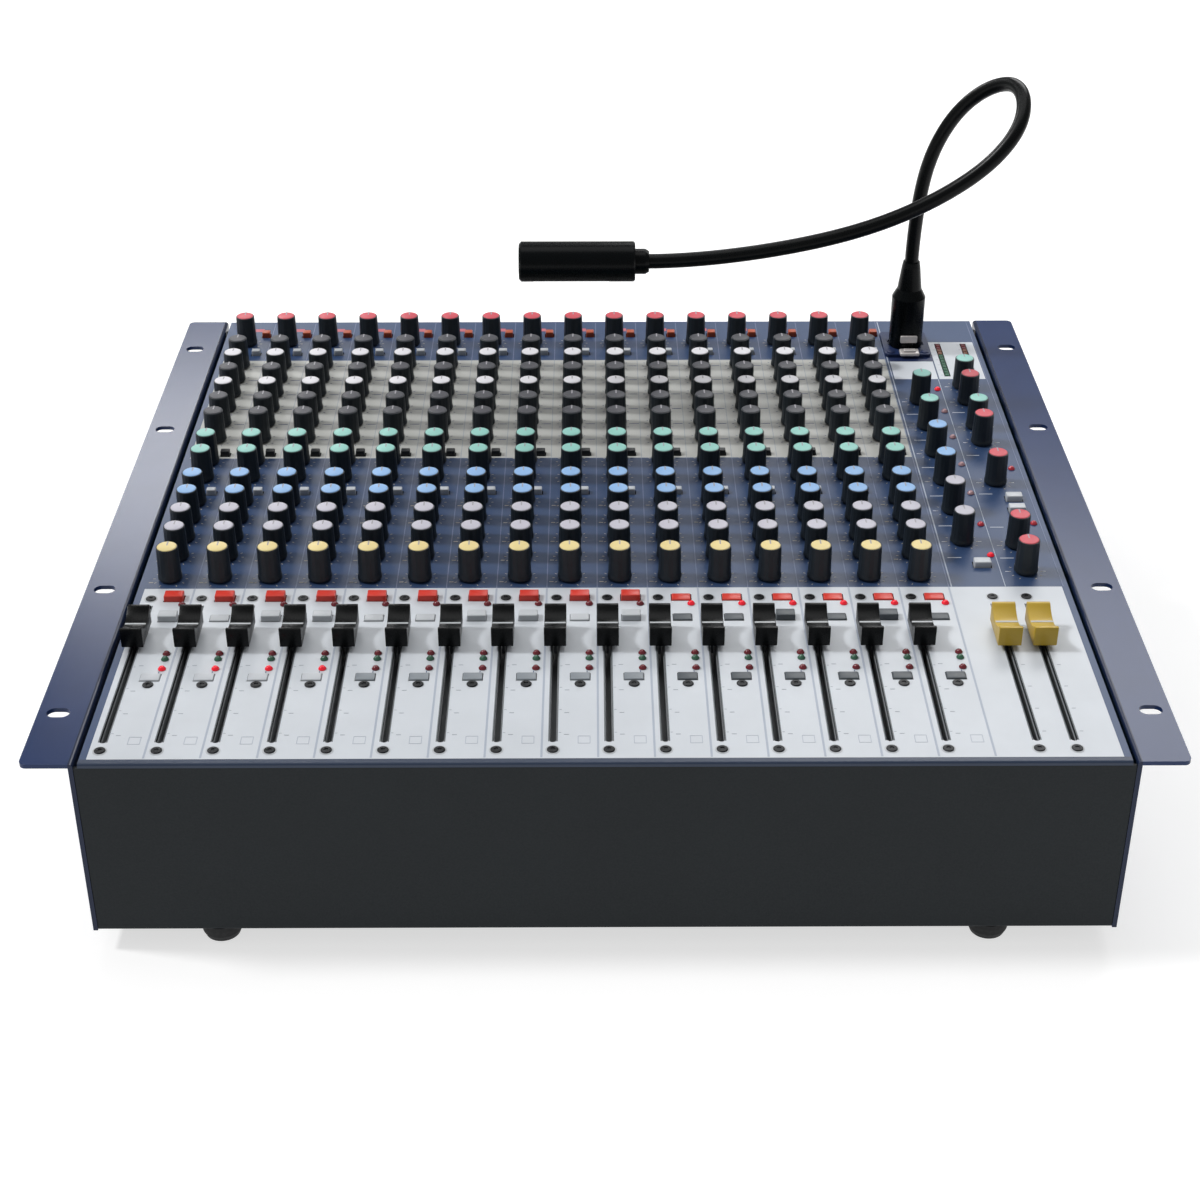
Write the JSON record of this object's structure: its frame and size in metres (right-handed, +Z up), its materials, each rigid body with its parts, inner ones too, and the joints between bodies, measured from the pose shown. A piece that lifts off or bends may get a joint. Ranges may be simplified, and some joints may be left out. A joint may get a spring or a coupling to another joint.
{
  "type": "mixing console",
  "caption": "Rack-mount audio mixing console: blue panel of knobs, push buttons and faders, slotted ears, plain dark front, rubber feet and a gooseneck lamp.",
  "frame": {"origin": "on the surface it stands on, below the middle of the panel", "axes": "+X to the operator's right, +Y to the rear, +Z up; the faders are at -Y"},
  "size_m": [0.4826, 0.4436, 0.261],
  "materials": {
    "panel_paint": "satin",
    "chassis_paint": "matte",
    "foot_rubber": "matte",
    "screw_steel": "satin",
    "knob_plastic": "satin",
    "button_plastic": "satin",
    "button_red": "satin",
    "lamp_lens": "gloss",
    "track_steel": "satin",
    "component_plastic": "satin",
    "board_laminate": "satin",
    "socket_shell": "satin",
    "jack_plastic": "satin",
    "gooseneck_black": "gloss",
    "fader_black": "satin",
    "fader_yellow": "satin"
  },
  "bodies": {
    "console": {"top_panel": "panel_paint", "side_plate_left": "panel_paint", "side_plate_right": "panel_paint", "chassis_tray": "chassis_paint", "rear_panel": "chassis_paint", "rubber_feet": "foot_rubber", "fixing_screws": "screw_steel", "fixed_knobs": "knob_plastic", "push_switches": "button_plastic", "indicator_lamps": "lamp_lens", "fader_tracks": "track_steel", "potentiometers": "component_plastic", "circuit_board": "board_laminate", "xlr_sockets": "socket_shell", "jack_sockets": "jack_plastic", "mains_inlet": "jack_plastic", "power_supply": "track_steel", "lamp_plug": "gooseneck_black"},
    "fader_01": {"fader_01": "fader_black"},
    "fader_02": {"fader_02": "fader_black"},
    "fader_03": {"fader_03": "fader_black"},
    "fader_04": {"fader_04": "fader_black"},
    "fader_05": {"fader_05": "fader_black"},
    "fader_06": {"fader_06": "fader_black"},
    "fader_07": {"fader_07": "fader_black"},
    "fader_08": {"fader_08": "fader_black"},
    "fader_09": {"fader_09": "fader_black"},
    "fader_10": {"fader_10": "fader_black"},
    "fader_11": {"fader_11": "fader_black"},
    "fader_12": {"fader_12": "fader_black"},
    "fader_13": {"fader_13": "fader_black"},
    "fader_14": {"fader_14": "fader_black"},
    "fader_15": {"fader_15": "fader_black"},
    "fader_16": {"fader_16": "fader_black"},
    "fader_master_left": {"fader_master_left": "fader_yellow"},
    "fader_master_right": {"fader_master_right": "fader_yellow"},
    "knob_gain": {"knob_gain": "knob_plastic"},
    "knob_treble": {"knob_treble": "knob_plastic"},
    "knob_high_mid_frequency": {"knob_high_mid_frequency": "knob_plastic"},
    "knob_high_mid_gain": {"knob_high_mid_gain": "knob_plastic"},
    "knob_low_mid_frequency": {"knob_low_mid_frequency": "knob_plastic"},
    "knob_low_mid_gain": {"knob_low_mid_gain": "knob_plastic"},
    "knob_bass": {"knob_bass": "knob_plastic"},
    "knob_aux_1": {"knob_aux_1": "knob_plastic"},
    "knob_aux_2": {"knob_aux_2": "knob_plastic"},
    "knob_aux_3": {"knob_aux_3": "knob_plastic"},
    "knob_aux_4": {"knob_aux_4": "knob_plastic"},
    "knob_aux_5": {"knob_aux_5": "knob_plastic"},
    "knob_aux_6": {"knob_aux_6": "knob_plastic"},
    "knob_pan": {"knob_pan": "knob_plastic"},
    "button_phantom": {"button_phantom": "button_red"},
    "button_high_pass": {"button_high_pass": "button_plastic"},
    "button_equaliser": {"button_equaliser": "button_plastic"},
    "button_pre_fade": {"button_pre_fade": "button_plastic"},
    "button_mute": {"button_mute": "button_red"},
    "button_mix": {"button_mix": "button_plastic"},
    "button_solo": {"button_solo": "button_plastic"},
    "power_switch": {"power_switch": "jack_plastic"},
    "lamp_arm": {"gooseneck": "gooseneck_black", "lamp_head": "gooseneck_black"}
  },
  "joints": [
    {"name": "lamp_bend", "type": "hinge", "parent": "console", "child": "lamp_arm", "pos_m": [0.1745, 0.18615, 0.151], "axis": [0, 1, 0], "range_deg": [-10, 35]},
    {"name": "power_switch_rock", "type": "hinge", "parent": "console", "child": "power_switch", "pos_m": [0.19, 0.21335, 0.066], "axis": [1, 0, 0], "range_deg": [0, 20]},
    {"name": "fader_01_slide", "type": "slide", "parent": "console", "child": "fader_01", "axis": [0, 1, 0], "range_m": [-0.0756, 0.0244]},
    {"name": "fader_08_slide", "type": "slide", "parent": "console", "child": "fader_08", "axis": [0, 1, 0], "range_m": [-0.0756, 0.0244]},
    {"name": "fader_16_slide", "type": "slide", "parent": "console", "child": "fader_16", "axis": [0, 1, 0], "range_m": [-0.0756, 0.0244]},
    {"name": "fader_master_left_slide", "type": "slide", "parent": "console", "child": "fader_master_left", "axis": [0, 1, 0], "range_m": [-0.0756, 0.0244]},
    {"name": "fader_master_right_slide", "type": "slide", "parent": "console", "child": "fader_master_right", "axis": [0, 1, 0], "range_m": [-0.0756, 0.0244]},
    {"name": "button_phantom_press", "type": "slide", "parent": "console", "child": "button_phantom", "axis": [0, 0, 1], "range_m": [-0.0025, 0], "stiffness_N_per_m": 500},
    {"name": "button_high_pass_press", "type": "slide", "parent": "console", "child": "button_high_pass", "axis": [0, 0, 1], "range_m": [-0.0025, 0], "stiffness_N_per_m": 500},
    {"name": "button_equaliser_press", "type": "slide", "parent": "console", "child": "button_equaliser", "axis": [0, 0, 1], "range_m": [-0.0025, 0], "stiffness_N_per_m": 500},
    {"name": "button_pre_fade_press", "type": "slide", "parent": "console", "child": "button_pre_fade", "axis": [0, 0, 1], "range_m": [-0.0025, 0], "stiffness_N_per_m": 500},
    {"name": "button_mute_press", "type": "slide", "parent": "console", "child": "button_mute", "axis": [0, 0, 1], "range_m": [-0.0025, 0], "stiffness_N_per_m": 500},
    {"name": "button_mix_press", "type": "slide", "parent": "console", "child": "button_mix", "axis": [0, 0, 1], "range_m": [-0.0025, 0], "stiffness_N_per_m": 500},
    {"name": "button_solo_press", "type": "slide", "parent": "console", "child": "button_solo", "axis": [0, 0, 1], "range_m": [-0.0025, 0], "stiffness_N_per_m": 500},
    {"name": "knob_gain_turn", "type": "hinge", "parent": "console", "child": "knob_gain", "pos_m": [-0.2034, 0.19085, 0.0975], "axis": [0, 0, -1], "range_deg": [-150, 150]},
    {"name": "knob_treble_turn", "type": "hinge", "parent": "console", "child": "knob_treble", "pos_m": [-0.2034, 0.16015, 0.0975], "axis": [0, 0, -1], "range_deg": [-150, 150]},
    {"name": "knob_high_mid_frequency_turn", "type": "hinge", "parent": "console", "child": "knob_high_mid_frequency", "pos_m": [-0.2034, 0.14205, 0.0975], "axis": [0, 0, -1], "range_deg": [-150, 150]},
    {"name": "knob_high_mid_gain_turn", "type": "hinge", "parent": "console", "child": "knob_high_mid_gain", "pos_m": [-0.2034, 0.12395, 0.0975], "axis": [0, 0, -1], "range_deg": [-150, 150]},
    {"name": "knob_low_mid_frequency_turn", "type": "hinge", "parent": "console", "child": "knob_low_mid_frequency", "pos_m": [-0.2034, 0.10585, 0.0975], "axis": [0, 0, -1], "range_deg": [-150, 150]},
    {"name": "knob_low_mid_gain_turn", "type": "hinge", "parent": "console", "child": "knob_low_mid_gain", "pos_m": [-0.2034, 0.08775, 0.0975], "axis": [0, 0, -1], "range_deg": [-150, 150]},
    {"name": "knob_bass_turn", "type": "hinge", "parent": "console", "child": "knob_bass", "pos_m": [-0.2034, 0.06965, 0.0975], "axis": [0, 0, -1], "range_deg": [-150, 150]},
    {"name": "knob_aux_1_turn", "type": "hinge", "parent": "console", "child": "knob_aux_1", "pos_m": [-0.2034, 0.04415, 0.0975], "axis": [0, 0, -1], "range_deg": [-150, 150]},
    {"name": "knob_aux_2_turn", "type": "hinge", "parent": "console", "child": "knob_aux_2", "pos_m": [-0.2034, 0.02645, 0.0975], "axis": [0, 0, -1], "range_deg": [-150, 150]},
    {"name": "knob_aux_3_turn", "type": "hinge", "parent": "console", "child": "knob_aux_3", "pos_m": [-0.2034, 0.00085, 0.0975], "axis": [0, 0, -1], "range_deg": [-150, 150]},
    {"name": "knob_aux_4_turn", "type": "hinge", "parent": "console", "child": "knob_aux_4", "pos_m": [-0.2034, -0.01655, 0.0975], "axis": [0, 0, -1], "range_deg": [-150, 150]},
    {"name": "knob_aux_5_turn", "type": "hinge", "parent": "console", "child": "knob_aux_5", "pos_m": [-0.2034, -0.03515, 0.0975], "axis": [0, 0, -1], "range_deg": [-150, 150]},
    {"name": "knob_aux_6_turn", "type": "hinge", "parent": "console", "child": "knob_aux_6", "pos_m": [-0.2034, -0.05315, 0.0975], "axis": [0, 0, -1], "range_deg": [-150, 150]},
    {"name": "knob_pan_turn", "type": "hinge", "parent": "console", "child": "knob_pan", "pos_m": [-0.2034, -0.07315, 0.0975], "axis": [0, 0, -1], "range_deg": [-150, 150]},
    {"name": "fader_02_slide", "type": "slide", "parent": "console", "child": "fader_02", "axis": [0, 1, 0], "range_m": [-0.0756, 0.0244]},
    {"name": "fader_03_slide", "type": "slide", "parent": "console", "child": "fader_03", "axis": [0, 1, 0], "range_m": [-0.0756, 0.0244]},
    {"name": "fader_04_slide", "type": "slide", "parent": "console", "child": "fader_04", "axis": [0, 1, 0], "range_m": [-0.0756, 0.0244]},
    {"name": "fader_05_slide", "type": "slide", "parent": "console", "child": "fader_05", "axis": [0, 1, 0], "range_m": [-0.0756, 0.0244]},
    {"name": "fader_06_slide", "type": "slide", "parent": "console", "child": "fader_06", "axis": [0, 1, 0], "range_m": [-0.0756, 0.0244]},
    {"name": "fader_07_slide", "type": "slide", "parent": "console", "child": "fader_07", "axis": [0, 1, 0], "range_m": [-0.0756, 0.0244]},
    {"name": "fader_09_slide", "type": "slide", "parent": "console", "child": "fader_09", "axis": [0, 1, 0], "range_m": [-0.0756, 0.0244]},
    {"name": "fader_10_slide", "type": "slide", "parent": "console", "child": "fader_10", "axis": [0, 1, 0], "range_m": [-0.0756, 0.0244]},
    {"name": "fader_11_slide", "type": "slide", "parent": "console", "child": "fader_11", "axis": [0, 1, 0], "range_m": [-0.0756, 0.0244]},
    {"name": "fader_12_slide", "type": "slide", "parent": "console", "child": "fader_12", "axis": [0, 1, 0], "range_m": [-0.0756, 0.0244]},
    {"name": "fader_13_slide", "type": "slide", "parent": "console", "child": "fader_13", "axis": [0, 1, 0], "range_m": [-0.0756, 0.0244]},
    {"name": "fader_14_slide", "type": "slide", "parent": "console", "child": "fader_14", "axis": [0, 1, 0], "range_m": [-0.0756, 0.0244]},
    {"name": "fader_15_slide", "type": "slide", "parent": "console", "child": "fader_15", "axis": [0, 1, 0], "range_m": [-0.0756, 0.0244]}
  ]
}
